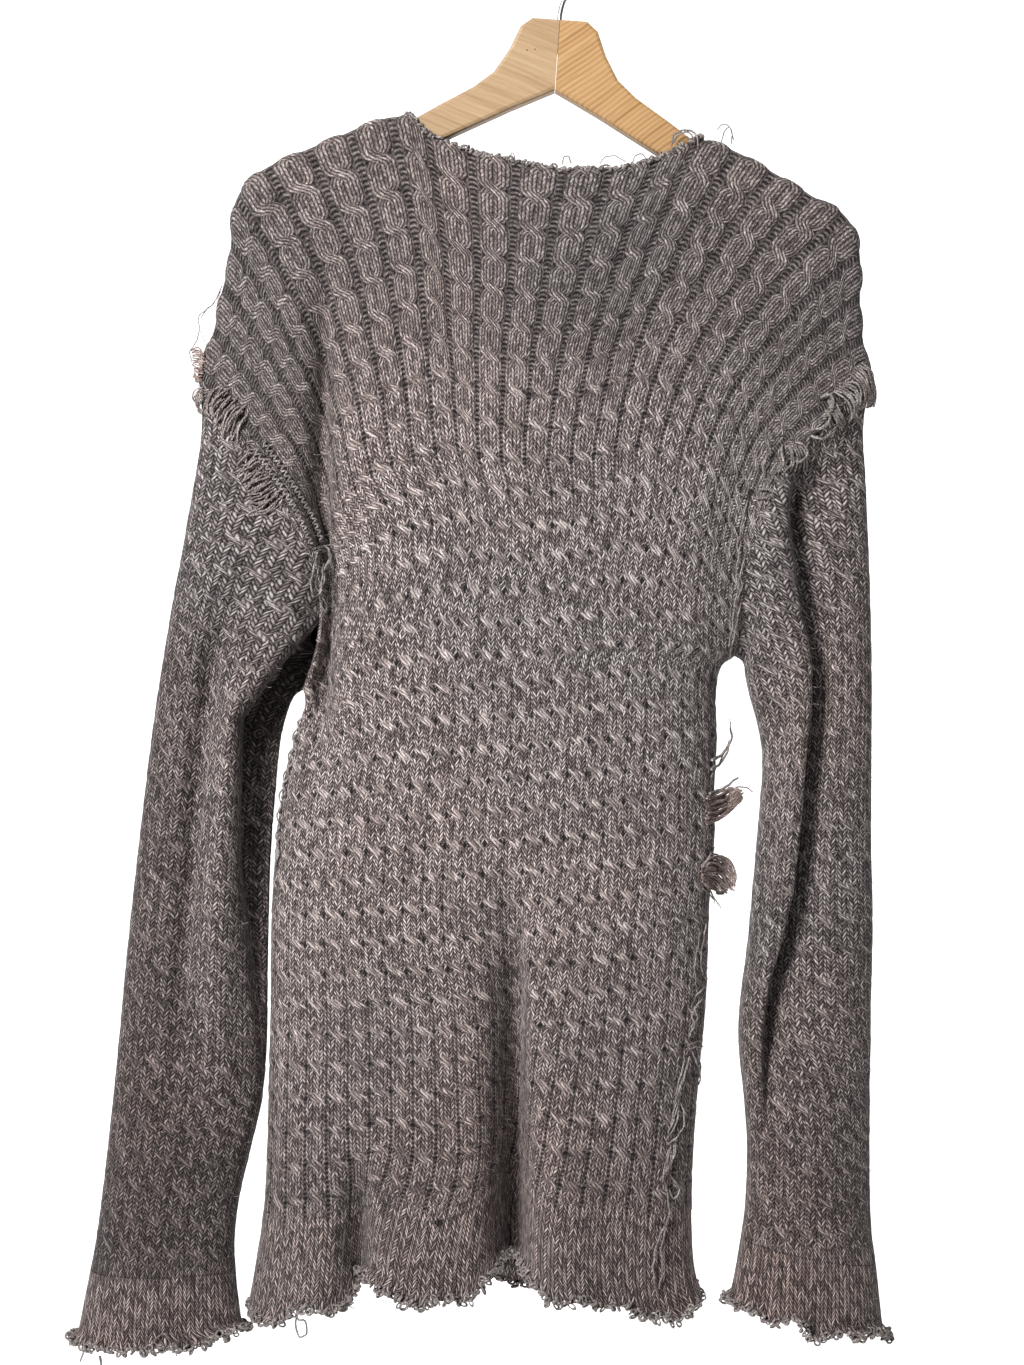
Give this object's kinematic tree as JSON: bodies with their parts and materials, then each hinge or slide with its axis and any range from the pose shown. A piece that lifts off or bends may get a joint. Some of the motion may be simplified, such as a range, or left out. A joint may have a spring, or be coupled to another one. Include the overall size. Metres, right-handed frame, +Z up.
{
  "type": "darned wool sweater on a wooden hanger",
  "caption": "Long cable-knit wool pullover with raw curled edges and frayed, darned seams, hung on a flat two-piece wooden hanger with a steel wire hook.",
  "frame": {"origin": "the inside top of the hanger's hook, where a rail carries it", "axes": "+Z up, +X to the viewer's right when facing the front, -Y out of the front of the sweater"},
  "size_m": [0.5646, 0.0932, 0.9882],
  "materials": {
    "cable_knit": "marled grey-brown wool in a small cable knit, fuzzy and matte",
    "rib_knit": "the same marled wool in a rib, with a raw curled edge",
    "loose_yarn": "loose strands, loops and tufts of the same wool",
    "pale_wood": "smooth pale wood under a clear satin coat",
    "warm_wood": "warmer wood with a clear diagonal grain, satin",
    "hook_steel": "bright plated steel wire"
  },
  "bodies": {
    "root": {"front_panel": "cable_knit", "back_panel": "cable_knit", "left_sleeve": "cable_knit", "right_sleeve": "cable_knit", "front_hem_rib": "rib_knit", "back_hem_rib": "rib_knit", "left_cuff": "rib_knit", "right_cuff": "rib_knit", "left_armhole_fringe": "loose_yarn", "right_armhole_fringe": "loose_yarn", "left_side_fringe": "loose_yarn", "right_side_fringe": "loose_yarn", "right_side_floats": "loose_yarn", "hanger_left_half": "pale_wood", "hanger_right_half": "warm_wood", "hanger_hook": "hook_steel"}
  },
  "joints": []
}
